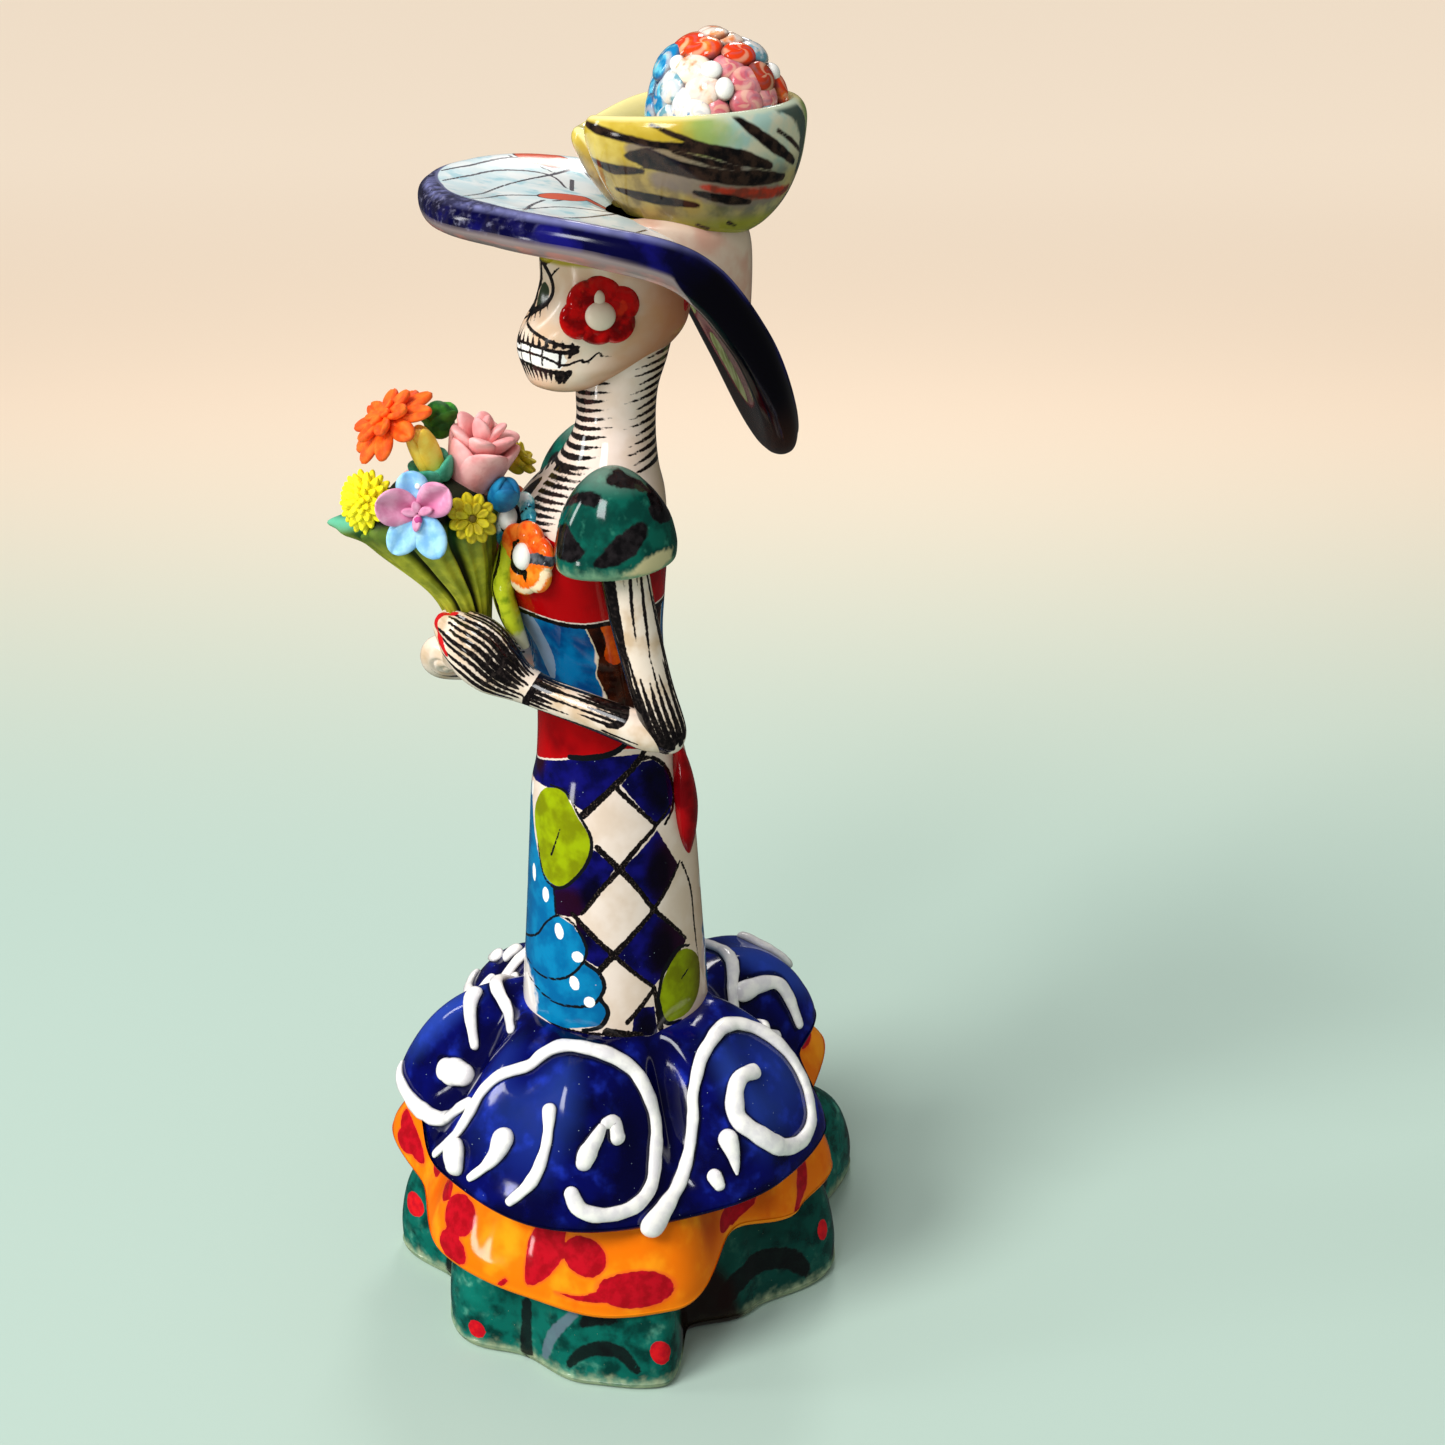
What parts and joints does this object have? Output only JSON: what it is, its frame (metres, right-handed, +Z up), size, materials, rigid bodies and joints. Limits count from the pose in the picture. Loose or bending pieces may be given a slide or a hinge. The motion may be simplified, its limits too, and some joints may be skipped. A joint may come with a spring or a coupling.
{
  "type": "day of the dead skeleton figure",
  "caption": "Glazed ceramic skeleton lady in a wide hat and a flounced dress, holding a bouquet of matte clay flowers.",
  "frame": {"origin": "on the axis of the skirt, at the level of the underside she stands on", "axes": "+Z up, she faces -Y, and her left side is +X"},
  "size_m": [0.1147, 0.1288, 0.3017],
  "materials": {
    "painted_glaze": "hand-painted colours under a clear gloss glaze",
    "leaf_clay": "matte painted clay",
    "orange_clay": "matte painted clay",
    "pink_clay": "matte painted clay",
    "yellow_clay": "matte painted clay",
    "lilac_clay": "matte painted clay",
    "blue_clay": "matte painted clay",
    "green_clay": "matte painted clay"
  },
  "bodies": {
    "root": {"skeleton_lady": "painted_glaze", "bouquet_leaves": "leaf_clay", "orange_daisy": "orange_clay", "pink_rose": "pink_clay", "yellow_zinnia": "yellow_clay", "pansy": "lilac_clay", "yellow_daisy": "yellow_clay", "blue_bud": "blue_clay", "tulip": "yellow_clay", "green_bud": "green_clay", "small_yellow": "yellow_clay", "far_orange": "orange_clay", "far_pink": "pink_clay", "far_yellow": "yellow_clay"}
  },
  "joints": []
}
